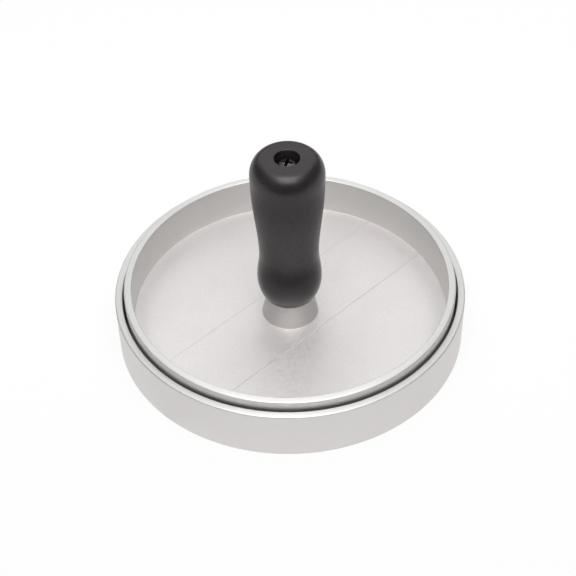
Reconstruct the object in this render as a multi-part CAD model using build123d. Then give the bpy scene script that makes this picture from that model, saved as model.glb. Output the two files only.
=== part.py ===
from build123d import *
import math
import os

# Burger press: a cast dish, a cast press plate that drops into it, a moulded grip, and the
# long screw that draws the grip down on the plate's boss.
# Millimetres and degrees, +Z up. The origin is the centre of the dish's underside.

# Dish
dish_radius = 65.35
dish_height = 19.8
dish_wall = 2.75
dish_floor = 3.0
dish_rim_round = 1.0
dish_mouth_round = 0.8
dish_base_round = 0.5
dish_corner_round = 1.2
foot_width = 5.0
foot_recess = 0.6
foot_recess_round = 0.5

# Press plate
press_gap = 0.8
plate_thickness = 2.95
press_rim_height = 15.55
press_wall = 2.8
press_rim_round = 1.2
press_inner_round = 0.8
press_base_round = 1.0
press_corner_round = 0.15
casting_draft = 0.8
pan_draft = 0.1

# Ribs that mark the meat, alike on the dish's floor and under the press plate
rib_height = 1.0
rib_pitch = 9.1
rib_base = 3.0
rib_crest = 1.8
rib_end_gap = 4.0
rib_end_draft = 35.0
rib_root = 0.3
pattern_turn = 44.0

# Two fine raised lines that the casting die leaves across the plate, along the ribs
die_line_width = 0.3
die_line_height = 0.1
die_line_places = (-14.5, 12.8)

# Boss that carries the grip
boss_base_radius = 10.6
boss_top_radius = 8.6
boss_height = 9.65
boss_foot_round = 0.15
boss_edge_round = 0.3

# Grip
grip_length = 64.15
grip_seat_radius = 9.4
grip_seat_flare = 54.0
bulb_place = 9.05
bulb_radius = 12.0
waist_place = 20.6
waist_radius = 10.98
palm_place = 36.85
palm_radius = 12.22
palm_lean = 6.3
shoulder_place = 56.8
shoulder_radius = 13.45
crown_radius = 8.1
mouth_round = 0.4
counterbore_depth = 5.0

# Screw, with clearances in the grip and in the boss
screw_radius = 2.5
screw_point = 0.6
head_radius = 4.25
head_side = 1.9
head_crown = 1.5
head_edge_round = 0.15
thread_engagement = 7.5
tip_room = 1.0
drill_angle = 118.0
thread_gap = 0.05
shank_gap = 0.25
head_gap = 0.25
recess_span = 4.6
recess_width = 1.35
recess_depth = 2.2
recess_taper = 12.0
recess_turn = -16.0

# Heights and radii that the pieces share
mouth_radius = dish_radius - dish_wall
plate_bottom = dish_floor + 2 * rib_height
plate_top = plate_bottom + plate_thickness
press_rim_top = plate_top + press_rim_height
grip_seat = plate_top + boss_height
grip_top = grip_seat + grip_length
screw_seat = grip_top - counterbore_depth
screw_tip = grip_seat - thread_engagement


def drawn_in(radius, rise, draft):
    """The radius that a drafted wall has after falling by rise from where it has radius."""
    return radius - rise * math.tan(math.radians(draft))


def turned(*corners):
    """A solid turned about the Z axis from corners given as (radius, height, rounding)."""
    points = [(radius, height) for radius, height, _ in corners]
    roundings = [rounding for _, _, rounding in corners]
    outline = FilletPolyline(*points, radius=roundings, close=True)
    return revolve(make_face(Plane.XZ * outline), Axis.Z)


def rib_pattern(reach):
    """Upright ribs on the plane Z=0, clipped to a disc of radius reach, with sloped ends."""
    count = math.floor(reach / rib_pitch)
    section = [
        (-rib_base / 2, -rib_root),
        (rib_base / 2, -rib_root),
        (rib_base / 2, 0),
        (rib_crest / 2, rib_height),
        (-rib_crest / 2, rib_height),
        (-rib_base / 2, 0),
    ]
    rib = extrude(make_face(Plane.YZ * Polyline(*section, close=True)), reach, both=True)
    rows = [Pos(0, step * rib_pitch, 0) * rib for step in range(-count, count + 1)]
    end_slope = math.tan(math.radians(rib_end_draft))
    disc = turned(
        (0, -rib_root, 0),
        (reach, -rib_root, 0),
        (reach, 0, 0),
        (reach - rib_height * end_slope, rib_height, 0),
        (0, rib_height, 0),
    )
    return Rot(0, 0, pattern_turn) * (Compound(rows) & disc)


def die_lines(reach):
    """The two fine raised lines, standing on the plane Z=0 within a disc of radius reach."""
    lines = []
    for place in die_line_places:
        half_length = math.sqrt(reach**2 - place**2)
        lines.append(
            Pos(0, place, 0)
            * Box(
                2 * half_length,
                die_line_width,
                2 * die_line_height,
            )
        )
    return Rot(0, 0, pattern_turn) * Compound(lines)


def mould_tray():
    """The dish: a drafted wall, a ribbed floor, and a foot ring round a shallow recess."""
    base_radius = drawn_in(dish_radius, dish_height, casting_draft)
    floor_radius = drawn_in(mouth_radius, dish_height - dish_floor, casting_draft)
    foot_inner = base_radius - foot_width
    dish = turned(
        (0, foot_recess, 0),
        (foot_inner - foot_recess, foot_recess, foot_recess_round),
        (foot_inner, 0, 0),
        (base_radius, 0, dish_base_round),
        (dish_radius, dish_height, dish_rim_round),
        (mouth_radius, dish_height, dish_mouth_round),
        (floor_radius, dish_floor, dish_corner_round),
        (0, dish_floor, 0),
    )
    return dish + Pos(0, 0, dish_floor) * rib_pattern(floor_radius - rib_end_gap)


def press_plate():
    """The press: a pan with a ribbed underside and a drilled boss, cast in one."""
    outer = mouth_radius - press_gap
    base_outer = drawn_in(outer, press_rim_top - plate_bottom, casting_draft)
    inner = outer - press_wall
    pan_radius = drawn_in(inner, press_rim_height, pan_draft)
    hole_radius = screw_radius + thread_gap
    hole_bottom = screw_tip - tip_room
    drill_point = hole_radius / math.tan(math.radians(drill_angle / 2))
    pan = turned(
        (0, plate_bottom, 0),
        (base_outer, plate_bottom, press_base_round),
        (outer, press_rim_top, press_rim_round),
        (inner, press_rim_top, press_inner_round),
        (pan_radius, plate_top, press_corner_round),
        (boss_base_radius, plate_top, boss_foot_round),
        (boss_top_radius, grip_seat, boss_edge_round),
        (hole_radius, grip_seat, 0),
        (hole_radius, hole_bottom, 0),
        (0, hole_bottom - drill_point, 0),
    )
    hanging = Pos(0, 0, plate_bottom) * mirror(rib_pattern(base_outer - rib_end_gap), Plane.XY)
    lines = Pos(0, 0, plate_top) * die_lines(pan_radius - press_corner_round)
    boss_room = Pos(0, 0, plate_top) * Cylinder(boss_base_radius, boss_height)
    return pan + hanging + (lines - boss_room)


def grip_side():
    """The grip's side as one smooth curve from the seat through bulb, waist and palm."""
    flare = math.radians(grip_seat_flare)
    lean = math.radians(palm_lean)
    return Spline(
        (grip_seat_radius, grip_seat),
        (bulb_radius, grip_seat + bulb_place),
        (waist_radius, grip_seat + waist_place),
        (palm_radius, grip_seat + palm_place),
        (shoulder_radius, grip_seat + shoulder_place),
        tangents=[
            (math.cos(flare), math.sin(flare)),
            (0, 1),
            (0, 1),
            (math.sin(lean), math.cos(lean)),
            (0, 1),
        ],
    )


def handle_grip():
    """The moulded grip, bored through for the screw and counterbored for its head."""
    bore = screw_radius + shank_gap
    counterbore = head_radius + head_gap
    shoulder = grip_seat + shoulder_place
    crown = EllipticalCenterArc(
        (crown_radius, shoulder),
        shoulder_radius - crown_radius,
        grip_top - shoulder,
        start_angle=0,
        arc_size=90,
    )
    inside = FilletPolyline(
        (crown_radius, grip_top),
        (counterbore, grip_top),
        (counterbore, screw_seat),
        (bore, screw_seat),
        (bore, grip_seat),
        (grip_seat_radius, grip_seat),
        radius=[mouth_round, 0, 0, 0],
    )
    outline = Curve() + grip_side() + crown + inside
    return revolve(make_face(Plane.XZ * outline), Axis.Z)


def handle_screw():
    """The dome-head screw, from its cross recess down to its point in the boss."""
    head_edge = screw_seat + head_side
    head_top = head_edge + head_crown
    side = Polyline(
        (0, head_top),
        (0, screw_tip),
        (screw_radius - screw_point, screw_tip),
        (screw_radius, screw_tip + screw_point),
        (screw_radius, screw_seat),
        (head_radius, screw_seat),
        (head_radius, head_edge),
    )
    dome = TangentArc((0, head_top), (head_radius, head_edge), tangent=(1, 0))
    section = make_face(Curve() + side + dome)
    head_corner = section.vertices().sort_by_distance((head_radius, head_edge))[0]
    screw = revolve(Plane.XZ * fillet(head_corner, head_edge_round), Axis.Z)
    wing = Rectangle(recess_span, recess_width)
    cross = wing + Rot(0, 0, 90) * wing
    recess = extrude(cross, -recess_depth, taper=recess_taper)
    return screw - Pos(0, 0, head_top) * Rot(0, 0, recess_turn) * recess


pieces = {
    "mould_tray": mould_tray(),
    "press_plate": press_plate(),
    "handle_grip": handle_grip(),
    "handle_screw": handle_screw(),
}

os.makedirs("parts", exist_ok=True)
for name, piece in pieces.items():
    export_step(piece, f"parts/{name}.step")
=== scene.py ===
"""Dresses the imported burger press: two satin aluminium castings, a black grip and its screw."""
import math

import bmesh
import bpy
from bpy.props import FloatProperty, FloatVectorProperty, IntProperty, PointerProperty
from mathutils import Euler, Matrix, Vector
from mathutils.geometry import interpolate_bezier


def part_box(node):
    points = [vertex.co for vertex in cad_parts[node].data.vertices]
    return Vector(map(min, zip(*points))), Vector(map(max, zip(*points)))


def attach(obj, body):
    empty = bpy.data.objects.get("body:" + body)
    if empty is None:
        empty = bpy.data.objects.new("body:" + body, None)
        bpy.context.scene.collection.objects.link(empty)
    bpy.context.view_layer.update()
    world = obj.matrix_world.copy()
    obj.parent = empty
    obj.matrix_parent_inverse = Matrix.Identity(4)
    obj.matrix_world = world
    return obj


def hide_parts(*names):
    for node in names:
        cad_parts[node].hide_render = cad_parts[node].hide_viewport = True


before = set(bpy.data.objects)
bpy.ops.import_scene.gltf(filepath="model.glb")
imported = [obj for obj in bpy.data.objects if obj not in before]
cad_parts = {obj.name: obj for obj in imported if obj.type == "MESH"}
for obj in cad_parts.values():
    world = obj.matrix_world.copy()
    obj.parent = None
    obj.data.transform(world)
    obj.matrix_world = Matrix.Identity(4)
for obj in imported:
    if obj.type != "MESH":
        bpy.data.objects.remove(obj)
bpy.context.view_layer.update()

bl_info = {
    "name": "Burger Press",
    "version": (1, 0, 0),
    "blender": (4, 5, 0),
    "location": "View3D > Sidebar > Burger Press",
    "description": "Builds a cast aluminium burger press around its packed frame",
    "category": "Mesh",
}

DISH_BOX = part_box("mould_tray")
PRESS_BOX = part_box("press_plate")
GRIP_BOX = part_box("handle_grip")
SCREW_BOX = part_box("handle_screw")

MM = 0.001
SAME_PLACE = 0.001 * MM
CASTING_STEPS = 256
GRIP_STEPS = 160
HEAD_STEPS = 96
THREAD_STEPS = 32
ROUND_STEPS = 6
SHARP = math.radians(32)
TURNED_LEAN = math.radians(60)
UP = Vector((0, 0, 1))


def length(name, description, default):
    """A length in metres that a user can change."""
    return FloatProperty(name=name, description=description, default=default, min=0, unit="LENGTH",
                         precision=5)


def turn(name, description, degrees):
    """An angle that a user can change."""
    return FloatProperty(name=name, description=description, default=math.radians(degrees),
                         unit="ROTATION")


def share(name, description, default):
    """A plain number from 0 to 1."""
    return FloatProperty(name=name, description=description, default=default, min=0, max=1,
                         subtype="FACTOR")


def power(name, description, default):
    """A lamp's power in watts."""
    return FloatProperty(name=name, description=description, default=default, min=0,
                         unit="POWER")


def colour(name, description, default):
    """A colour in linear red, green and blue."""
    return FloatVectorProperty(name=name, description=description, default=default, size=3,
                               min=0, max=1, subtype="COLOR")


class DishSizes(bpy.types.PropertyGroup):
    """The dish that holds the meat."""
    radius: length("Radius", "Outside radius", DISH_BOX[1].x)
    height: length("Height", "From the table to the rim", DISH_BOX[1].z)
    wall: length("Wall", "Thickness of the wall at its rim", 2.75 * MM)
    floor: length("Floor", "From the table to the floor's upper face", 3.0 * MM)
    rim_fall: length("Rim fall", "Drop of the rim's top to its outer edge", 0.12 * MM)
    rim_round: length("Rim rounding", "Rounding of the rim's outer edge", 0.5 * MM)
    mouth_round: length("Mouth rounding", "Rounding of the rim's inner edge", 0.35 * MM)
    base_round: length("Base rounding", "Rounding under the wall", 0.5 * MM)
    corner_round: length("Corner rounding", "Fillet between wall and floor", 1.2 * MM)
    foot_width: length("Foot width", "Width of the ring that it stands on", 5.0 * MM)
    foot_recess: length("Foot recess", "Depth inside that ring", 0.6 * MM)
    foot_round: length("Foot rounding", "Fillet of the recess", 0.5 * MM)
    draft: turn("Draft", "Slope of the walls", 0.8)


class RibSizes(bpy.types.PropertyGroup):
    """The ribs that mark the meat, on the dish's floor and under the press."""
    height: length("Height", "Height of a rib", 1.0 * MM)
    pitch: length("Pitch", "From rib to rib", 9.1 * MM)
    base: length("Base", "Width at the root", 3.0 * MM)
    crest: length("Crest", "Width at the top", 1.8 * MM)
    crest_round: length("Crest rounding", "Rounding along the crest", 0.3 * MM)
    root: length("Root", "Depth to which a rib is sunk in its floor", 0.3 * MM)
    end_gap: length("End gap", "From the ribs' ends to the wall", 4.0 * MM)
    end_slope: turn("End slope", "Slope of the ribs' ends", 35)
    heading: turn("Heading", "Turn of the pattern about the press's axis", 44)


class PressSizes(bpy.types.PropertyGroup):
    """The press plate with its rim and boss."""
    radius: length("Radius", "Outside radius at the rim", 61.8 * MM)
    plate: length("Plate", "Thickness of the plate", 2.95 * MM)
    wall: length("Wall", "Thickness of the rim", 2.8 * MM)
    rim_fall: length("Rim fall", "Drop of the rim's top to its outer edge", 0.12 * MM)
    rim_round: length("Rim rounding", "Rounding of the rim's outer edge", 0.5 * MM)
    inner_round: length("Inner rounding", "Rounding of the rim's inner edge", 0.35 * MM)
    base_round: length("Base rounding", "Rounding under the plate", 1.0 * MM)
    corner_round: length("Corner rounding", "Fillet between rim and plate", 0.15 * MM)
    draft: turn("Draft", "Slope of the outer wall", 0.8)
    pan_draft: turn("Pan draft", "Slope of the inner wall", 0.1)
    boss_base: length("Boss base", "Radius of the boss on the plate", 10.6 * MM)
    boss_top: length("Boss top", "Radius of the boss under the grip", 8.6 * MM)
    boss_foot_round: length("Boss foot", "Fillet round the boss", 0.15 * MM)
    boss_edge_round: length("Boss edge", "Rounding of the boss's top edge", 0.3 * MM)
    hole: length("Hole", "Radius of the drilled hole", 2.55 * MM)
    tip_room: length("Tip room", "Hole left past the screw's tip", 1.0 * MM)
    line_width: length("Die line width", "Width of the two raised lines", 0.4 * MM)
    line_front: length("Front line", "From the axis to the nearer line", 14.5 * MM)
    front_height: length("Front line height", "Height of the nearer line", 0.15 * MM)
    line_back: length("Back line", "From the axis to the further line", 12.8 * MM)
    back_height: length("Back line height", "Height of the further line", 0.1 * MM)


class GripSizes(bpy.types.PropertyGroup):
    """The moulded grip. Places are heights above the boss."""
    seat_radius: length("Seat radius", "Radius on the boss", 9.4 * MM)
    seat_round: length("Seat rounding", "Rounding of the lower edge", 0.3 * MM)
    seat_flare: turn("Seat flare", "Slope of the side where it leaves the seat", 54)
    bulb_place: length("Bulb place", "Height of the bulb", 9.05 * MM)
    bulb_radius: length("Bulb radius", "Radius of the bulb", 12.0 * MM)
    waist_place: length("Waist place", "Height of the waist", 20.6 * MM)
    waist_radius: length("Waist radius", "Radius of the waist", 10.98 * MM)
    palm_place: length("Palm place", "Height of the palm swell", 36.85 * MM)
    palm_radius: length("Palm radius", "Radius of the palm swell", 12.22 * MM)
    palm_lean: turn("Palm lean", "Slope of the side at the palm swell", 83.7)
    shoulder_place: length("Shoulder place", "Height of the widest place", 56.8 * MM)
    shoulder_radius: length("Shoulder radius", "Largest radius", GRIP_BOX[1].x)
    crown_radius: length("Crown radius", "Radius of the flat top", 8.1 * MM)
    pocket_radius: length("Pocket radius", "Radius of the screw pocket", 4.5 * MM)
    pocket_round: length("Pocket rounding", "Rounding of the pocket's edge", 0.4 * MM)
    pocket_depth: length("Pocket depth", "Depth to the head's seat", 5.0 * MM)
    bore: length("Bore", "Radius of the bore", 2.75 * MM)


class ScrewSizes(bpy.types.PropertyGroup):
    """The long screw with its cross recess."""
    shank: length("Shank", "Radius of the shank and thread", 2.48 * MM)
    root: length("Thread root", "Radius at the bottom of the thread", 2.05 * MM)
    pitch: length("Thread pitch", "Rise of a turn", 0.8 * MM)
    turns: IntProperty(name="Turns", description="Turns of thread", default=28, min=1)
    head: length("Head", "Radius of the head", SCREW_BOX[1].x)
    head_side: length("Head side", "Height of the head's straight side", 1.9 * MM)
    head_round: length("Head rounding", "Rounding of the head's edges", 0.15 * MM)
    recess_span: length("Recess span", "Width across the cross", 4.6 * MM)
    recess_width: length("Recess width", "Width of a wing", 1.35 * MM)
    recess_depth: length("Recess depth", "Depth of the cross", 2.2 * MM)
    recess_taper: turn("Recess taper", "Slope of the cross's walls", 12)
    recess_turn: turn("Recess turn", "Turn of the cross", -16)


class Finishes(bpy.types.PropertyGroup):
    """Colours and roughness of the materials."""
    casting: colour("Casting", "Blasted aluminium", (0.775, 0.758, 0.76))
    casting_dark: colour("Casting, dull", "Duller patches of the casting", (0.758, 0.741, 0.743))
    # Painted light: a lighter colour for the floors near their wall, in place of the shade the wall
    # casts there.
    casting_painted_light: colour("Casting, bright", "Brighter casting near the wall", (0.86, 0.842, 0.84))
    # Painted shade: a grey along the two fine lines, standing in for the shade on their ridges.
    die_line_shade: colour("Die grey", "Grey of the fine lines across the plate", (0.705, 0.69, 0.69))
    casting_rough: share("Casting roughness", "Roughness of the blasted faces", 0.533)
    casting_spread: share("Casting spread", "Change of roughness from grain to grain", 0.165)
    drawn_rough: share("Drawn roughness", "Roughness of the walls that left the die", 0.5)
    drawn_spread: share("Drawn spread", "Change of roughness on those walls", 0.08)
    inner_rough: share("Pan wall roughness", "Roughness of the pan's wall", 0.58)
    boss_rough: share("Boss roughness", "Roughness of the boss's side", 0.42)
    outer_wall: colour("Outer wall", "The dish's outside wall", (0.765, 0.747, 0.737))
    # Painted shade: the pan's wall is darker than the level faces, for the shade it stands in.
    shaded_pan_wall: colour("Inner wall", "Duller wall of the pan", (0.71, 0.71, 0.698))
    # Painted shade: the boss's side is darker than the turned rims, for the shade it stands in.
    shaded_boss_wall: colour("Boss wall", "Dull side of the boss", (0.63, 0.618, 0.61))
    # Painted shade: a dark grey for the walls in the gap between press and dish, where shade falls.
    gap_shade_wall: colour("Rubbed walls", "Grey where press and dish rub", (0.5, 0.49, 0.485))
    rim: colour("Rim", "Aluminium turned bright on the rims", (0.775, 0.78, 0.768))
    rim_rough: share("Rim roughness", "Roughness of the rims", 0.46)
    turned_stretch: share("Turned stretch", "Stretch of highlights on turned faces", 0.5)
    ring_pitch: length("Ring pitch", "From ring to ring of the turned faces", 0.3 * MM)
    # The grip is lighter towards the shoulder and darker towards the bulb.
    plastic: colour("Grip", "Black plastic, dulled by the hand", (0.0155, 0.0125, 0.0136))
    bulb: colour("Bulb", "Black plastic below the hand", (0.006, 0.005, 0.0054))
    plastic_rough: share("Grip roughness", "Roughness of the grip", 0.32)
    bulb_rough: share("Bulb roughness", "Roughness of the grip's glossier lower end", 0.17)
    screw: colour("Screw", "Black plated steel", (0.06, 0.058, 0.058))
    # Bright on the head's edges: partly bare steel worn through the plating, partly a painted
    # highlight.
    screw_worn_and_glint: colour("Screw, worn", "Bare steel on the head's edges", (0.25, 0.24, 0.23))
    screw_rough: share("Screw roughness", "Roughness of the screw", 0.30)


class Studio(bpy.types.PropertyGroup):
    """Camera, floor and lamps."""
    elevation: turn("Elevation", "Camera's angle above the table", 43.778)
    roll: turn("Roll", "Camera's turn about its own axis", -1.37)
    distance: length("Distance", "From the camera to its target", 598 * MM)
    aim_side: FloatProperty(name="Aim, sideways", description="Target left or right of the axis",
                            default=-0.7 * MM, unit="LENGTH", precision=5)
    aim_height: length("Aim height", "Height of the target", 19.18 * MM)
    lens: FloatProperty(name="Lens", description="Focal length in millimetres", default=99.818,
                        unit="CAMERA")
    floor_span: length("Floor", "Width of the floor", 6.0)
    floor_drop: length("Floor drop", "From the dish's foot down to the floor", 0.02 * MM)
    floor_white: share("Floor white", "Share of the floor that is plain white", 0.9)
    sky: share("Sky", "Light from all round", 0.8)
    tent_reach: length("Tent reach", "From the press to the tent's walls", 0.7)
    tent_sides: length("Tent sides", "Height of the left and right walls", 0.93)
    tent_back: length("Tent back", "Height of the wall behind", 0.28)
    tent_glow: share("Tent glow", "Brightness of the tent's walls", 0.14)
    card_reach: length("Card reach", "From the press to the dark card's foot in front", 0.2)
    card_width: length("Card width", "Width of the dark card", 0.7)
    card_height: length("Card height", "Length of the dark card from foot to top", 0.37)
    card_lean: turn("Card lean", "Lean of the dark card away from the press", 18)
    card_glow: share("Card glow", "Brightness of the dark card", 0.09)
    lamp_colour: colour("Lamp colour", "Colour of the lamps' light", (1.0, 0.955, 0.94))
    key_distance: length("Front lamp distance", "From the press to the front lamp", 1.1)
    key_elevation: turn("Front lamp elevation", "Angle of the front lamp above the table", 63)
    key_width: length("Front lamp width", "Width of the front lamp", 0.79)
    key_depth: length("Front lamp depth", "Height of the front lamp", 0.89)
    key_power: power("Front lamp power", "Power of the front lamp", 9.7)
    top_distance: length("Top lamp distance", "From the press to the top lamp", 1.1)
    top_elevation: turn("Top lamp elevation", "Angle of the top lamp, from the front", 100)
    top_width: length("Top lamp width", "Width of the top lamp", 1.2)
    top_depth: length("Top lamp depth", "Height of the top lamp", 0.9)
    top_power: power("Top lamp power", "Power of the top lamp", 1.3)


def drawn_in(radius, rise, draft):
    """The radius to which a drafted wall narrows as it falls by rise."""
    return radius - rise * math.tan(draft)


def finished(name, bm):
    """Turns a bmesh into an object, with its doubles merged and its faces outwards."""
    bmesh.ops.remove_doubles(bm, verts=bm.verts, dist=SAME_PLACE)
    bmesh.ops.recalc_face_normals(bm, faces=bm.faces)
    mesh = bpy.data.meshes.new(name)
    bm.to_mesh(mesh)
    bm.free()
    piece = bpy.data.objects.new(name, mesh)
    bpy.context.scene.collection.objects.link(piece)
    return piece


def wire(bm, points):
    """Draws points, each (radius, height), as a wire in the XZ plane, and returns its vertices."""
    verts = [bm.verts.new((radius, 0, height)) for radius, height in points]
    for pair in zip(verts, verts[1:]):
        bm.edges.new(pair)
    return verts


def round_off(bm, parts, offset, affect="VERTICES", segments=ROUND_STEPS):
    """Rounds off corners of a wire, or edges of a solid."""
    bmesh.ops.bevel(bm, geom=parts, offset=offset, offset_type="OFFSET", affect=affect,
                    segments=segments, profile=0.5, material=-1)


def spin_round(bm, steps):
    """Spins the wire in bm about the axis and closes what it leaves open."""
    bmesh.ops.spin(bm, geom=bm.verts[:] + bm.edges[:], cent=(0, 0, 0), axis=UP,
                   angle=math.tau, steps=steps, use_merge=True)
    bmesh.ops.remove_doubles(bm, verts=bm.verts, dist=SAME_PLACE)
    bmesh.ops.holes_fill(bm, edges=bm.edges, sides=0)


def rim_corners(outer, inner, top, fall, outer_round, inner_round):
    """Corners of a rim whose top falls away gently towards its outer edge."""
    corners = [(outer, top - fall, outer_round)]
    for share_out in (0.75, 0.5, 0.25):
        corners.append((inner + share_out * (outer - inner), top - fall * share_out**2, 0))
    return corners + [(inner, top, inner_round)]


def turned(name, corners, steps=CASTING_STEPS):
    """A solid of revolution from corners given as (radius, height, rounding)."""
    bm = bmesh.new()
    verts = wire(bm, [(radius, height) for radius, height, _ in corners])
    for vert, (_, _, rounding) in zip(verts, corners):
        if rounding:
            round_off(bm, [vert], rounding)
    spin_round(bm, steps)
    return finished(name, bm)


def settle(piece):
    """Works a piece's modifiers into its mesh."""
    bpy.context.view_layer.update()
    graph = bpy.context.evaluated_depsgraph_get()
    mesh = bpy.data.meshes.new_from_object(piece.evaluated_get(graph))
    piece.modifiers.clear()
    piece.data = mesh
    mesh.name = piece.name


def combine(piece, other, operation):
    """Joins other to piece, cuts it out, or keeps what they share, and removes other."""
    step = piece.modifiers.new(operation.lower(), "BOOLEAN")
    step.operation = operation
    step.solver = "MANIFOLD"
    step.object = other
    settle(piece)
    bpy.data.objects.remove(other)
    return piece


def smooth(piece):
    """Shades a piece smooth between its sharp edges, with flat faces kept flat."""
    piece.data.shade_smooth()
    piece.data.set_sharp_from_angle(angle=SHARP)
    even = piece.modifiers.new("even_shading", "WEIGHTED_NORMAL")
    even.keep_sharp = True
    even.weight = 90
    return piece


def bar(long, section):
    """A closed bar along X from -long to long, with the given outline in the YZ plane."""
    bm = bmesh.new()
    points = [bm.verts.new((-long, y, z)) for y, z in section]
    face = bm.faces.new(points)
    grown = bmesh.ops.extrude_face_region(bm, geom=[face])
    moved = [item for item in grown["geom"] if isinstance(item, bmesh.types.BMVert)]
    bmesh.ops.translate(bm, verts=moved, vec=(2 * long, 0, 0))
    return bm


def rib_pattern(name, reach):
    """Ribs standing on the plane Z=0 within a disc of radius reach."""
    ribs = bpy.context.scene.press_ribs
    half, crest, high = ribs.base / 2, ribs.crest / 2, ribs.height
    section = [(-half, -ribs.root), (half, -ribs.root), (half, 0), (crest, high), (-crest, high),
               (-half, 0)]
    bm = bar(reach, section)
    crests = [edge for edge in bm.edges
              if all(abs(vert.co.z - high) < ribs.root / 2 for vert in edge.verts)
              and abs(edge.verts[0].co.x - edge.verts[1].co.x) > reach]
    round_off(bm, crests, ribs.crest_round, affect="EDGES", segments=4)
    row = bm.verts[:] + bm.edges[:] + bm.faces[:]
    count = math.floor(reach / ribs.pitch)
    bmesh.ops.translate(bm, verts=bm.verts, vec=(0, -count * ribs.pitch, 0))
    for step in range(1, 2 * count + 1):
        copy = bmesh.ops.duplicate(bm, geom=row)["geom"]
        verts = [item for item in copy if isinstance(item, bmesh.types.BMVert)]
        bmesh.ops.translate(bm, verts=verts, vec=(0, step * ribs.pitch, 0))
    bmesh.ops.rotate(bm, verts=bm.verts, cent=(0, 0, 0),
                     matrix=Matrix.Rotation(ribs.heading, 3, "Z"))
    pattern = finished(name, bm)
    narrow = reach - high * math.tan(ribs.end_slope)
    disc = turned(name + "_disc", [(reach, -2 * ribs.root, 0), (reach, 0, 0),
                                   (narrow, high, 0), (narrow, 2 * high, 0)])
    return combine(pattern, disc, "INTERSECT")


def place(piece, move, flip=False):
    """Moves a piece's mesh, mirrored upside down first where flip is true."""
    matrix = Matrix.Translation(move)
    if flip:
        matrix = matrix @ Matrix.Diagonal((1, 1, -1, 1))
    piece.data.transform(matrix)
    if flip:
        piece.data.flip_normals()
    return piece


def die_line(name, reach, offset, high):
    """A fine rounded ridge along the ribs, standing on the plane Z=0, offset from the axis."""
    half = bpy.context.scene.press_plate_sizes.line_width / 2
    along = math.sqrt(reach**2 - offset**2)
    shoulder = high * 0.8
    section = [(-half, -high), (half, -high), (half, 0), (half / 2, shoulder), (0, high),
               (-half / 2, shoulder), (-half, 0)]
    bm = bar(along, section)
    bmesh.ops.translate(bm, verts=bm.verts, vec=(0, offset, 0))
    heading = bpy.context.scene.press_ribs.heading
    bmesh.ops.rotate(bm, verts=bm.verts, cent=(0, 0, 0), matrix=Matrix.Rotation(heading, 3, "Z"))
    return finished(name, bm)


def handed_over(piece, node, body, slot, *materials):
    """Makes a finished piece stand for its CAD node."""
    piece.data.materials.clear()
    for finish in materials:
        piece.data.materials.append(finish)
    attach(piece, body)
    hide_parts(node)


def give_turned_finish(piece, rim_foot, boss_radius=0.0, boss_foot=0.0):
    """Gives the second material to the level faces of the rim and to the boss's sloped side."""
    for face in piece.data.polygons:
        level = face.normal.z > math.cos(TURNED_LEAN)
        on_rim = level and face.center.z > rim_foot
        rises = face.normal.z > 0 and not level
        radius = math.hypot(face.center.x, face.center.y)
        on_boss = rises and radius < boss_radius and face.center.z > boss_foot
        if on_rim or on_boss:
            face.material_index = 1


class Nodes:
    """Adds and links the nodes of one node tree."""

    def __init__(self, tree):
        self.tree = tree

    def feed(self, socket, value):
        """Gives an input a plain value, or links an output to it."""
        if isinstance(value, bpy.types.NodeSocket):
            self.tree.links.new(value, socket)
        else:
            socket.default_value = value

    def add(self, kind, inputs=None, **settings):
        """A new node with its properties set and its inputs fed, each by name or place."""
        node = self.tree.nodes.new(kind)
        for key, value in settings.items():
            setattr(node, key, value)
        for key, value in (inputs or {}).items():
            self.feed(node.inputs[key], value)
        return node

    def noise(self, coordinates, scale, detail=2.0, roughness=0.5):
        """A noise texture's value, from 0 to 1."""
        inputs = {"Vector": coordinates, "Scale": scale, "Detail": detail, "Roughness": roughness}
        return self.add("ShaderNodeTexNoise", inputs).outputs["Fac"]

    def math(self, operation, *values, clamp=False):
        """A math node over outputs or numbers."""
        inputs = dict(enumerate(values))
        node = self.add("ShaderNodeMath", inputs, operation=operation, use_clamp=clamp)
        return node.outputs["Value"]

    def ramp(self, value, low, high, to_low=0.0, to_high=1.0):
        """Maps value from low..high to to_low..to_high, smoothly and held at the ends."""
        inputs = {"Value": value, "From Min": low, "From Max": high, "To Min": to_low,
                  "To Max": to_high}
        node = self.add("ShaderNodeMapRange", inputs, interpolation_type="SMOOTHSTEP")
        return node.outputs["Result"]

    def blend(self, mask, first, second):
        """A number that goes smoothly from first to second as a mask goes from 0 to 1."""
        return self.ramp(mask, 0.0, 1.0, first, second)

    def mix(self, mask, first, second):
        """Mixes two colours by a mask, on the Mix node's colour sockets, 6 and 7 and output 2."""
        inputs = {"Factor": mask, 6: first, 7: second}
        return self.add("ShaderNodeMix", inputs, data_type="RGBA").outputs[2]

    def parts(self, vector):
        """The X, Y and Z of a vector."""
        return self.add("ShaderNodeSeparateXYZ", {0: vector}).outputs

    def aligned(self, place_of, heading):
        """The X, Y and Z of a place, with X along a heading."""
        inputs = {"Vector": place_of, "Rotation": (0, 0, -heading)}
        return self.parts(self.add("ShaderNodeMapping", inputs).outputs["Vector"])

    def distance(self, across, along):
        """The distance from the axis of a place across and along."""
        squares = [self.math("MULTIPLY", side, side) for side in (across, along)]
        return self.math("SQRT", self.math("ADD", *squares))

    def away(self, value, middle):
        """How far a value is from a middle."""
        return self.math("ABSOLUTE", self.math("SUBTRACT", value, middle))

    def show(self, shader):
        """Makes a shader's output the material's surface."""
        self.feed(self.tree.nodes["Material Output"].inputs["Surface"], shader)


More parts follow.
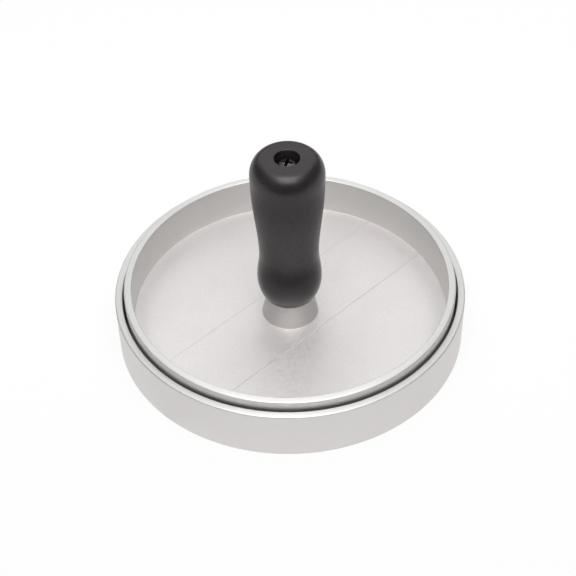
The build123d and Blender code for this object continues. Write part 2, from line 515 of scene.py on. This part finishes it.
def grain_group():
    """Fine grain of a blasted or moulded surface, with cloudy patches of another colour."""
    name = "fine_grain"
    if name in bpy.data.node_groups:
        return bpy.data.node_groups[name]
    tree = bpy.data.node_groups.new(name, "ShaderNodeTree")
    for side, kind, titles in (
        ("INPUT", "Vector", ("Vector",)),
        ("INPUT", "Color", ("Colour", "Dull Colour")),
        ("INPUT", "Float", ("Grain Scale", "Patch Scale", "Roughness", "Roughness Spread")),
        ("OUTPUT", "Color", ("Color",)),
        ("OUTPUT", "Float", ("Roughness", "Height")),
    ):
        for title in titles:
            tree.interface.new_socket(name=title, in_out=side, socket_type="NodeSocket" + kind)
    nodes = Nodes(tree)
    given = nodes.add("NodeGroupInput").outputs
    place_of, grain_scale = given["Vector"], given["Grain Scale"]
    speck_scale, speck_dull, speck_height = 0.37, 0.6, 0.8
    patch_range, speck_range, grain_range = (0.42, 0.68), (0.56, 0.7), (0.38, 0.49)

    grain = nodes.noise(place_of, grain_scale, detail=3.0, roughness=0.6)
    patches = nodes.noise(place_of, given["Patch Scale"], detail=4.0, roughness=0.55)
    specks = nodes.noise(place_of, nodes.math("MULTIPLY", grain_scale, speck_scale))
    dull = nodes.math("ADD", nodes.ramp(patches, *patch_range),
                      nodes.ramp(specks, *speck_range, 0.0, speck_dull))
    dull = nodes.math("MINIMUM", dull, 1.0)
    spread = nodes.math("MULTIPLY", nodes.ramp(grain, *grain_range, -1.0, 1.0),
                        given["Roughness Spread"])
    nodes.add("NodeGroupOutput", {
        "Color": nodes.mix(dull, given["Colour"], given["Dull Colour"]),
        "Roughness": nodes.math("ADD", given["Roughness"], spread),
        "Height": nodes.math("ADD", grain, nodes.math("MULTIPLY", specks, speck_height)),
    })
    return tree


def opaque(base, strength=1.0):
    """A colour for a node's input, made darker or lighter by a strength."""
    return (*[part * strength for part in base], 1)


def material(name):
    """A new material, its nodes and its Principled shader."""
    made = bpy.data.materials.new(name)
    made.use_nodes = True
    return made, Nodes(made.node_tree), made.node_tree.nodes["Principled BSDF"]


def surface(name):
    """A new material, its nodes, its shader and the place of each point of its piece."""
    made, nodes, shader = material(name)
    return made, nodes, shader, nodes.add("ShaderNodeTexCoord").outputs["Object"]


def add_grain(nodes, place_of, colours, grain_scale, patch_scale, rough, spread):
    """Places the grain group, with a clean and a dull colour, and returns its outputs."""
    clean, dull = colours
    inputs = {"Vector": place_of, "Colour": clean, "Dull Colour": dull,
              "Grain Scale": grain_scale, "Patch Scale": patch_scale,
              "Roughness": rough, "Roughness Spread": spread}
    return nodes.add("ShaderNodeGroup", inputs, node_tree=grain_group()).outputs


def dress(nodes, shader, colour_of, grain, relief, depth, strength):
    """Gives a shader its colour, its grain's roughness and a fine relief."""
    bump = nodes.add("ShaderNodeBump", {"Height": relief, "Distance": depth, "Strength": strength})
    nodes.feed(shader.inputs["Base Color"], colour_of)
    nodes.feed(shader.inputs["Roughness"], grain["Roughness"])
    nodes.feed(shader.inputs["Normal"], bump.outputs["Normal"])


def die_line_shade_mask(nodes, place_of, radius, height):
    """A mask of painted shade along the two fine lines, faded out round the boss where they catch
    the light.
    """
    scene = bpy.context.scene
    press, ribs, dish = scene.press_plate_sizes, scene.press_ribs, scene.press_dish
    plate_top = dish.floor + 2 * ribs.height + press.plate
    mark = (0.1 * MM, 0.3 * MM)
    plate_skin = (plate_top - 0.5 * MM, plate_top - 0.3 * MM)
    shade_fade = (20 * MM, 32 * MM)
    from_rib = nodes.aligned(place_of, ribs.heading)["Y"]
    line_shades = [nodes.ramp(nodes.away(from_rib, line), *mark, 1.0, 0.0)
             for line in (-press.line_front, press.line_back)]
    shade_kept = nodes.math("MULTIPLY", nodes.ramp(height, *plate_skin), nodes.ramp(radius, *shade_fade))
    return nodes.math("MULTIPLY", nodes.math("ADD", *line_shades), shade_kept)


def casting_material(name):
    """Satin aluminium, blasted on its level faces, with walls of their own roughness and colour.
    The pan's wall is darker as painted shade. There is painted shade in the gap and along the fine
    lines, and painted light on the floors near their wall.
    """
    dish = bpy.context.scene.press_dish
    look = bpy.context.scene.press_finishes
    made, nodes, shader, place_of = surface(name)
    across, along, height = nodes.parts(place_of)
    radius = nodes.distance(across, along)
    mouth = dish.radius - dish.wall
    # Each pair is where a mask begins to change and where it has changed
    wall_foot_light_band = (mouth - 8.0 * MM, mouth - 3.2 * MM)
    above_foot = (1.0 * MM, 2.0 * MM)
    pan_end = (mouth - 3.0 * MM, mouth - 2.0 * MM)
    dish_wall = (mouth, mouth + 0.5 * MM)
    gap_middle = mouth - 0.4 * MM
    gap_shade_width = (1.0 * MM, 1.4 * MM)
    gap_shade_height = (dish.height - 0.6 * MM, dish.height + 2.2 * MM)
    wall_lean = (0.35, 0.75)
    wall_relief = 0.3

    # Painted light: the floors turn lighter near their wall, in place of the wall's shade.
    wall_foot_light = nodes.math("MULTIPLY", nodes.ramp(radius, *wall_foot_light_band),
                           nodes.ramp(height, *above_foot))
    colours = [nodes.mix(wall_foot_light, opaque(base), opaque(look.casting_painted_light))
               for base in (look.casting, look.casting_dark)]
    facing = nodes.parts(nodes.add("ShaderNodeNewGeometry").outputs["Normal"])
    upright = nodes.ramp(nodes.math("ABSOLUTE", facing["Z"]), *wall_lean, 1.0, 0.0)
    wall_rough = nodes.blend(nodes.ramp(radius, *dish_wall), look.inner_rough, look.drawn_rough)
    grain = add_grain(nodes, place_of, colours, grain_scale=2600, patch_scale=55,
                      rough=nodes.blend(upright, look.casting_rough, wall_rough),
                      spread=nodes.blend(upright, look.casting_spread, look.drawn_spread))

    # Painted shade: the walls darken in a band round the gap between press and dish.
    painted_light_mask = nodes.math("MULTIPLY",
                        nodes.ramp(nodes.away(radius, gap_middle), *gap_shade_width, 1.0, 0.0),
                        nodes.ramp(height, *gap_shade_height, 1.0, 0.0))
    # Upright faces take the walls' colours: the pan's wall darker as painted shade, the outer wall
    # its own colour.
    walls = nodes.mix(nodes.ramp(radius, *pan_end), opaque(look.shaded_pan_wall),
                      opaque(look.outer_wall))
    walls = nodes.mix(painted_light_mask, walls, opaque(look.gap_shade_wall))
    # Painted shade along the two fine lines.
    line_shades = die_line_shade_mask(nodes, place_of, radius, height)
    level = nodes.mix(line_shades, grain["Color"], opaque(look.die_line_shade))
    relief = nodes.math("MULTIPLY", grain["Height"], nodes.blend(upright, 1.0, wall_relief))
    dress(nodes, shader, nodes.mix(upright, level, walls), grain, relief,
          depth=0.03 * MM, strength=0.5)
    shader.inputs["Metallic"].default_value = 1
    return made


def turned_material(name):
    """Aluminium turned on a lathe, with fine rings that stretch its highlights outwards."""
    look = bpy.context.scene.press_finishes
    made, nodes, shader, place_of = surface(name)
    across, along, height = nodes.parts(place_of)
    radius = nodes.distance(across, along)
    boss_end = (12 * MM, 15 * MM)
    dull_strength = 0.97
    quarter_turn = 0.25
    # The boss's side takes a darker colour than the rims, as painted shade.
    beyond_boss = nodes.ramp(radius, *boss_end)
    colours = [nodes.mix(beyond_boss, opaque(look.shaded_boss_wall, part), opaque(look.rim, part))
               for part in (1.0, dull_strength)]
    grain = add_grain(nodes, place_of, colours, grain_scale=2600, patch_scale=90,
                      rough=nodes.blend(beyond_boss, look.boss_rough, look.rim_rough),
                      spread=0.05)
    turns = nodes.math("MULTIPLY", nodes.math("ADD", radius, height), math.tau / look.ring_pitch)
    relief = nodes.math("ADD", grain["Height"], nodes.math("SINE", turns))
    dress(nodes, shader, grain["Color"], grain, relief, depth=0.004 * MM, strength=0.4)
    tangent = nodes.add("ShaderNodeTangent", direction_type="RADIAL", axis="Z")
    nodes.feed(shader.inputs["Tangent"], tangent.outputs["Tangent"])
    shader.inputs["Anisotropic"].default_value = look.turned_stretch
    shader.inputs["Anisotropic Rotation"].default_value = quarter_turn
    shader.inputs["Metallic"].default_value = 1
    return made


def plastic_material(name):
    """Black plastic with its mould's faint texture, glossy at the bulb and dulled above it."""
    look = bpy.context.scene.press_finishes
    grip = bpy.context.scene.press_grip
    made, nodes, shader, place_of = surface(name)
    bulb, palm, shoulder = (GRIP_BOX[0].z + station for station in (
        grip.bulb_place, grip.palm_place, grip.shoulder_place))
    dull_strength = 1.35
    height = nodes.parts(place_of)["Z"]
    # Darker towards the bulb, lighter towards the shoulder.
    towards_shoulder = nodes.ramp(height, bulb, shoulder)
    colours = [nodes.mix(towards_shoulder, opaque(look.bulb, part), opaque(look.plastic, part))
               for part in (1.0, dull_strength)]
    grain = add_grain(nodes, place_of, colours, grain_scale=3200, patch_scale=120,
                      rough=nodes.ramp(height, bulb, palm, look.bulb_rough, look.plastic_rough),
                      spread=0.08)
    dress(nodes, shader, grain["Color"], grain, grain["Height"], depth=0.02 * MM, strength=0.4)
    return made


def worn_and_glinting_edges(nodes, place_of):
    """A mask of the head's rim and the edges of its cross, in patches: partly bare steel worn
    through the plating, partly a painted highlight.
    """
    screw, grip = bpy.context.scene.press_screw, bpy.context.scene.press_grip
    head = GRIP_BOX[1].z - grip.pocket_depth + screw.head_side
    head_top = (head - 0.3 * MM, head)
    edge_width = (0.05 * MM, 0.22 * MM)
    rim_narrowing = 0.6
    wear_and_glint_range = (0.38, 0.58)
    *sides, height = nodes.aligned(place_of, screw.recess_turn)
    across, along = (nodes.math("ABSOLUTE", side) for side in sides)
    wings = [nodes.math("MAXIMUM", nodes.math("SUBTRACT", long, screw.recess_span / 2),
                        nodes.math("SUBTRACT", short, screw.recess_width / 2))
             for long, short in ((across, along), (along, across))]
    from_cross = nodes.math("ABSOLUTE", nodes.math("MINIMUM", *wings))
    from_rim = nodes.math("SUBTRACT", screw.head, nodes.distance(across, along))
    edge = nodes.math("MINIMUM", nodes.math("MULTIPLY", from_rim, rim_narrowing), from_cross)
    painted_light_mask = nodes.ramp(nodes.noise(place_of, scale=900, detail=3.0), *wear_and_glint_range)
    worn_and_lit = nodes.math("MULTIPLY", nodes.ramp(edge, *edge_width, 1.0, 0.0), painted_light_mask)
    return nodes.math("MULTIPLY", worn_and_lit, nodes.ramp(height, *head_top))


def screw_material(name):
    """Black plated steel, bright on the edges of its head: partly worn to bare steel, partly a
    painted highlight.
    """
    look = bpy.context.scene.press_finishes
    made, nodes, shader, place_of = surface(name)
    dull_strength = 1.8
    colours = (opaque(look.screw), opaque(look.screw, dull_strength))
    grain = add_grain(nodes, place_of, colours, grain_scale=4000, patch_scale=400,
                      rough=look.screw_rough, spread=0.1)
    colour_of = nodes.mix(worn_and_glinting_edges(nodes, place_of), grain["Color"], opaque(look.screw_worn_and_glint))
    dress(nodes, shader, colour_of, grain, grain["Height"], depth=0.01 * MM, strength=0.4)
    shader.inputs["Metallic"].default_value = 1
    return made


class CastDish(bpy.types.Operator):
    """Builds the dish with its ribbed floor."""
    bl_idname = "press.cast_dish"
    bl_label = "Dish"

    def execute(self, context):
        dish, ribs = context.scene.press_dish, context.scene.press_ribs
        mouth = dish.radius - dish.wall
        floor_radius = drawn_in(mouth, dish.height - dish.floor, dish.draft)
        base = drawn_in(dish.radius, dish.height, dish.draft)
        foot = base - dish.foot_width
        piece = turned("dish_casting", [
            (foot - 2 * dish.foot_recess, dish.foot_recess, 0),
            (foot - dish.foot_recess, dish.foot_recess, dish.foot_round),
            (foot, 0, 0),
            (base, 0, dish.base_round),
            *rim_corners(dish.radius, mouth, dish.height, dish.rim_fall, dish.rim_round,
                         dish.mouth_round),
            (floor_radius, dish.floor, dish.corner_round),
            (floor_radius - 2 * dish.corner_round, dish.floor, 0),
        ])
        pattern = rib_pattern("dish_ribs", floor_radius - ribs.end_gap)
        combine(piece, place(pattern, (0, 0, dish.floor)), "UNION")
        smooth(piece)
        handed_over(piece, "mould_tray", "mould", "dish_casting",
                    casting_material("dish_aluminium"), turned_material("dish_turned"))
        give_turned_finish(piece, dish.height - dish.rim_round)
        return {"FINISHED"}


class CastPress(bpy.types.Operator):
    """Builds the press plate with its rim, boss, ribs and die lines."""
    bl_idname = "press.cast_press"
    bl_label = "Press plate"

    def execute(self, context):
        scene = context.scene
        press, ribs, dish = scene.press_plate_sizes, scene.press_ribs, scene.press_dish
        bottom = dish.floor + 2 * ribs.height
        top = bottom + press.plate
        rim_top = PRESS_BOX[1].z
        seat = GRIP_BOX[0].z
        base = drawn_in(press.radius, rim_top - bottom, press.draft)
        inner = press.radius - press.wall
        pan = drawn_in(inner, rim_top - top, press.pan_draft)
        hole_end = SCREW_BOX[0].z - press.tip_room
        piece = turned("press_casting", [
            (base - 2 * press.base_round, bottom, 0),
            (base, bottom, press.base_round),
            *rim_corners(press.radius, inner, rim_top, press.rim_fall, press.rim_round,
                         press.inner_round),
            (pan, top, press.corner_round),
            (press.boss_base, top, press.boss_foot_round),
            (press.boss_top, seat, press.boss_edge_round),
            (press.hole, seat, 0),
            (press.hole, hole_end, 0),
            (0, hole_end - press.hole / 2, 0),
        ])
        pattern = rib_pattern("press_ribs", base - ribs.end_gap)
        combine(piece, place(pattern, (0, 0, bottom), flip=True), "UNION")
        for offset, high in ((-press.line_front, press.front_height),
                             (press.line_back, press.back_height)):
            line = die_line("die_line", pan - press.corner_round, offset, high)
            combine(piece, place(line, (0, 0, top)), "UNION")
        smooth(piece)
        handed_over(piece, "press_plate", "press", "press_casting",
                    casting_material("press_aluminium"), turned_material("press_turned"))
        boss_reach = press.boss_base + 0.1 * MM
        give_turned_finish(piece, rim_top - press.rim_round, boss_reach, boss_foot=top)
        return {"FINISHED"}


def grip_side(grip, low):
    """Points (radius, height) up the grip's side, on smooth curves between its stations."""
    upright = math.pi / 2
    steps = 12
    stations = [
        (Vector((radius, low + height)), Vector((math.cos(slope), math.sin(slope))))
        for radius, height, slope in (
            (grip.seat_radius, 0.0, grip.seat_flare),
            (grip.bulb_radius, grip.bulb_place, upright),
            (grip.waist_radius, grip.waist_place, upright),
            (grip.palm_radius, grip.palm_place, grip.palm_lean),
            (grip.shoulder_radius, grip.shoulder_place, upright),
        )
    ]
    points = []
    for (start, leaving), (end, arriving) in zip(stations, stations[1:]):
        reach = (end - start).length / 3
        points += interpolate_bezier(start, start + reach * leaving, end - reach * arriving, end,
                                     steps + 1)[:-1]
    return points


def grip_crown(grip, low, high):
    """Points (radius, height) over the grip's crown, a quarter of an ellipse."""
    shoulder = low + grip.shoulder_place
    steps = 16
    points = []
    for step in range(steps + 1):
        angle = math.pi / 2 * step / steps
        inset = (grip.shoulder_radius - grip.crown_radius) * math.cos(angle)
        points.append((grip.crown_radius + inset, shoulder + (high - shoulder) * math.sin(angle)))
    return points


class MouldGrip(bpy.types.Operator):
    """Builds the grip with its bore and screw pocket."""
    bl_idname = "press.mould_grip"
    bl_label = "Grip"

    def execute(self, context):
        grip = context.scene.press_grip
        low, high = GRIP_BOX[0].z, GRIP_BOX[1].z
        pocket = high - grip.pocket_depth
        outside = grip_side(grip, low) + grip_crown(grip, low, high)
        inside = [(grip.pocket_radius, high), (grip.pocket_radius, pocket), (grip.bore, pocket),
                  (grip.bore, low)]
        bm = bmesh.new()
        verts = wire(bm, outside + inside)
        bm.edges.new((verts[-1], verts[0]))
        round_off(bm, [verts[0]], grip.seat_round)
        round_off(bm, [verts[len(outside)]], grip.pocket_round)
        spin_round(bm, GRIP_STEPS)
        piece = smooth(finished("black_grip", bm))
        handed_over(piece, "handle_grip", "press", "grip_plastic", plastic_material("grip_black"))
        return {"FINISHED"}


def threaded_rod(screw, low):
    """A rod with a helical thread, standing on height low. A tooth gives shares of the pitch."""
    pitch = screw.pitch
    tooth = [(screw.root, 0.0), (screw.root, 0.12), (screw.shank, 0.47), (screw.shank, 0.6),
             (screw.root, 0.95), (screw.root, 1.0)]
    bm = bmesh.new()
    wire(bm, [(radius, low + (share_of - 1) * pitch) for radius, share_of in tooth])
    bmesh.ops.spin(bm, geom=bm.verts[:] + bm.edges[:], cent=(0, 0, 0), axis=UP,
                   dvec=(0, 0, pitch / THREAD_STEPS), angle=math.tau * screw.turns,
                   steps=THREAD_STEPS * screw.turns, use_merge=False)
    bmesh.ops.remove_doubles(bm, verts=bm.verts, dist=SAME_PLACE)
    for height, inward in ((low, -1), (low + (screw.turns - 1) * pitch, 1)):
        bmesh.ops.bisect_plane(bm, geom=bm.verts[:] + bm.edges[:] + bm.faces[:],
                               plane_co=(0, 0, height), plane_no=(0, 0, inward),
                               clear_outer=True)
        rim = [edge for edge in bm.edges if edge.is_boundary
               and all(abs(vert.co.z - height) < SAME_PLACE for vert in edge.verts)]
        bmesh.ops.holes_fill(bm, edges=rim, sides=0)
    return finished("thread", bm)


def recess_wing(screw, top, across):
    """One tapered wing of the cross recess, as a cutter."""
    bm = bmesh.new()
    bmesh.ops.create_cube(bm, size=1)
    span, width, deep = screw.recess_span, screw.recess_width, screw.recess_depth
    narrowing = 2 * deep * math.tan(screw.recess_taper)
    for side, wider in ((1, narrowing), (-1, -narrowing)):
        level = [vert for vert in bm.verts if side * vert.co.z > 0]
        bmesh.ops.scale(bm, verts=level, vec=(span + wider, width + wider, 2 * deep))
    bmesh.ops.rotate(bm, verts=bm.verts, cent=(0, 0, 0),
                     matrix=Matrix.Rotation(screw.recess_turn + across, 3, "Z"))
    bmesh.ops.translate(bm, verts=bm.verts, vec=(0, 0, top))
    return finished("recess_wing", bm)


class CutScrew(bpy.types.Operator):
    """Builds the screw with its head, cross recess and thread."""
    bl_idname = "press.cut_screw"
    bl_label = "Screw"

    def execute(self, context):
        screw, grip = context.scene.press_screw, context.scene.press_grip
        low, top = SCREW_BOX[0].z, SCREW_BOX[1].z
        seat = GRIP_BOX[1].z - grip.pocket_depth
        thread_top = low + (screw.turns - 1) * screw.pitch
        edge = seat + screw.head_side
        crown = top - edge
        ball = (screw.head**2 + crown**2) / (2 * crown)
        dome_steps = 8
        dome = []
        for step in range(1, dome_steps):
            radius = screw.head * (1 - step / dome_steps)
            dome.append((radius, top - ball + math.sqrt(ball**2 - radius**2), 0))
        piece = turned("black_screw", [
            (screw.shank, thread_top - screw.pitch / 4, 0),
            (screw.shank, seat, 0),
            (screw.head, seat, screw.head_round),
            (screw.head, edge, screw.head_round),
            *dome,
        ], steps=HEAD_STEPS)
        for across in (0, math.pi / 2):
            combine(piece, recess_wing(screw, top, across), "DIFFERENCE")
        combine(piece, threaded_rod(screw, low), "UNION")
        smooth(piece)
        handed_over(piece, "handle_screw", "press", "screw_steel", screw_material("screw_black"))
        return {"FINISHED"}


def stage_sheet(name, width, depth, centre, facing, finish):
    """A sheet of the stage, width by depth, at centre and turned by facing."""
    bm = bmesh.new()
    bmesh.ops.create_grid(bm, x_segments=1, y_segments=1, size=0.5)
    bmesh.ops.scale(bm, verts=bm.verts, vec=(width, depth, 1))
    bmesh.ops.rotate(bm, verts=bm.verts, cent=(0, 0, 0), matrix=facing.to_matrix())
    bmesh.ops.translate(bm, verts=bm.verts, vec=centre)
    sheet = finished(name, bm)
    sheet.data.materials.append(finish)
    return sheet


def tent_wall(name, heading, reach, width, height, brightness, lean=0):
    """A wall of the light tent, its foot at a distance reach, unseen by the camera."""
    made, nodes, shader = material(name)
    nodes.show(nodes.add("ShaderNodeEmission", {"Strength": brightness}).outputs["Emission"])
    nodes.tree.nodes.remove(shader)
    middle = Vector((reach + height / 2 * math.sin(lean), 0, height / 2 * math.cos(lean)))
    wall = stage_sheet(name, width, height, Matrix.Rotation(heading, 3, "Z") @ middle,
                       Euler((math.pi / 2 + lean, 0, heading + math.pi / 2)), made)
    wall.visible_camera = False


def seen_plainly(nodes):
    """A mask that is 1 for what the camera sees, straight or by way of metal or glass."""
    rays = nodes.add("ShaderNodeLightPath").outputs
    seen = nodes.math("ADD", rays["Is Camera Ray"], rays["Is Glossy Ray"], clamp=True)
    return nodes.math("ADD", seen, rays["Is Transmission Ray"], clamp=True)


def white_floor_material(studio):
    """A floor that looks plain white to the camera and in metal, and keeps a soft shadow."""
    made, nodes, shader = material("white_floor")
    shader.inputs["Base Color"].default_value = (0.9, 0.9, 0.9, 1)
    shader.inputs["Roughness"].default_value = 0.9
    white_share = nodes.math("MULTIPLY", seen_plainly(nodes), studio.floor_white)
    nodes.show(nodes.add("ShaderNodeMixShader", {
        "Fac": white_share,
        1: shader.outputs["BSDF"],
        2: nodes.add("ShaderNodeEmission").outputs["Emission"],
    }).outputs["Shader"])
    return made


def lamp(name, distance, elevation, width, depth, watts):
    """A soft lamp over the press, turned to it, at an elevation counted from the front."""
    studio = bpy.context.scene.press_studio
    light = bpy.data.lights.new(name, "AREA")
    light.shape = "RECTANGLE"
    light.size = width
    light.size_y = depth
    light.color = studio.lamp_colour
    light.energy = watts
    holder = bpy.data.objects.new(name, light)
    out = Vector((0, -math.cos(elevation), math.sin(elevation)))
    holder.location = distance * out
    holder.rotation_euler = (-out).to_track_quat("-Z", "Y").to_euler()
    bpy.context.scene.collection.objects.link(holder)


class SetStage(bpy.types.Operator):
    """Builds the floor, the sky, the lamps and the camera."""
    bl_idname = "press.set_stage"
    bl_label = "Stage"

    def execute(self, context):
        scene, studio = context.scene, context.scene.press_studio
        stage_sheet("floor", studio.floor_span, studio.floor_span, (0, 0, -studio.floor_drop),
                    Euler((0, 0, 0)), white_floor_material(studio))
        for name, heading, height in (
            ("tent_right", 0, studio.tent_sides),
            ("tent_back", math.pi / 2, studio.tent_back),
            ("tent_left", math.pi, studio.tent_sides),
        ):
            tent_wall(name, heading, studio.tent_reach, 2 * studio.tent_reach, height,
                      studio.tent_glow)
        tent_wall("dark_card", -math.pi / 2, studio.card_reach, studio.card_width,
                  studio.card_height, studio.card_glow, studio.card_lean)

        world = bpy.data.worlds.new("studio_sky")
        scene.world = world
        world.use_nodes = True
        nodes = Nodes(world.node_tree)
        sky = world.node_tree.nodes["Background"].inputs
        sky["Color"].default_value = (1, 1, 1, 1)
        nodes.feed(sky["Strength"], nodes.blend(seen_plainly(nodes), studio.sky, 1.0))

        lamp("front_lamp", studio.key_distance, studio.key_elevation, studio.key_width,
             studio.key_depth, studio.key_power)
        lamp("top_lamp", studio.top_distance, studio.top_elevation, studio.top_width,
             studio.top_depth, studio.top_power)

        camera = bpy.data.cameras.new("view")
        camera.lens = studio.lens
        camera.sensor_width = 36
        holder = bpy.data.objects.new("view", camera)
        scene.collection.objects.link(holder)
        back = Vector((0, -math.cos(studio.elevation), math.sin(studio.elevation)))
        holder.location = Vector((studio.aim_side, 0, studio.aim_height)) + studio.distance * back
        turned_to = (-back).to_track_quat("-Z", "Y")
        holder.rotation_mode = "QUATERNION"
        holder.rotation_quaternion = turned_to @ Euler((0, 0, studio.roll)).to_quaternion()
        scene.camera = holder
        scene.view_settings.view_transform = "Standard"
        return {"FINISHED"}


class PressPanel(bpy.types.Panel):
    """Lists the sizes and the build buttons."""
    bl_idname = "VIEW3D_PT_burger_press"
    bl_label = "Burger Press"
    bl_space_type = "VIEW_3D"
    bl_region_type = "UI"
    bl_category = "Burger Press"

    def draw(self, context):
        for title, (holder, _) in SETTINGS.items():
            box = self.layout.box()
            box.label(text=title)
            settings = getattr(context.scene, holder)
            for key in settings.__annotations__:
                box.prop(settings, key)
        for operator in OPERATORS:
            self.layout.operator(operator.bl_idname)


SETTINGS = {
    "Dish": ("press_dish", DishSizes),
    "Ribs": ("press_ribs", RibSizes),
    "Press plate": ("press_plate_sizes", PressSizes),
    "Grip": ("press_grip", GripSizes),
    "Screw": ("press_screw", ScrewSizes),
    "Finishes": ("press_finishes", Finishes),
    "Studio": ("press_studio", Studio),
}
OPERATORS = (SetStage, CastDish, CastPress, MouldGrip, CutScrew)


def register():
    """Registers the settings, the operators and the panel."""
    for holder, kind in SETTINGS.values():
        bpy.utils.register_class(kind)
        setattr(bpy.types.Scene, holder, PointerProperty(type=kind))
    for kind in (*OPERATORS, PressPanel):
        bpy.utils.register_class(kind)


def unregister():
    """Takes them away again."""
    for kind in (PressPanel, *reversed(OPERATORS)):
        bpy.utils.unregister_class(kind)
    for holder, kind in reversed(SETTINGS.values()):
        delattr(bpy.types.Scene, holder)
        bpy.utils.unregister_class(kind)


def main():
    """Builds the stage and every piece."""
    register()
    bpy.ops.press.set_stage()
    bpy.ops.press.cast_dish()
    bpy.ops.press.cast_press()
    bpy.ops.press.mould_grip()
    bpy.ops.press.cut_screw()


if __name__ == "__main__":
    main()
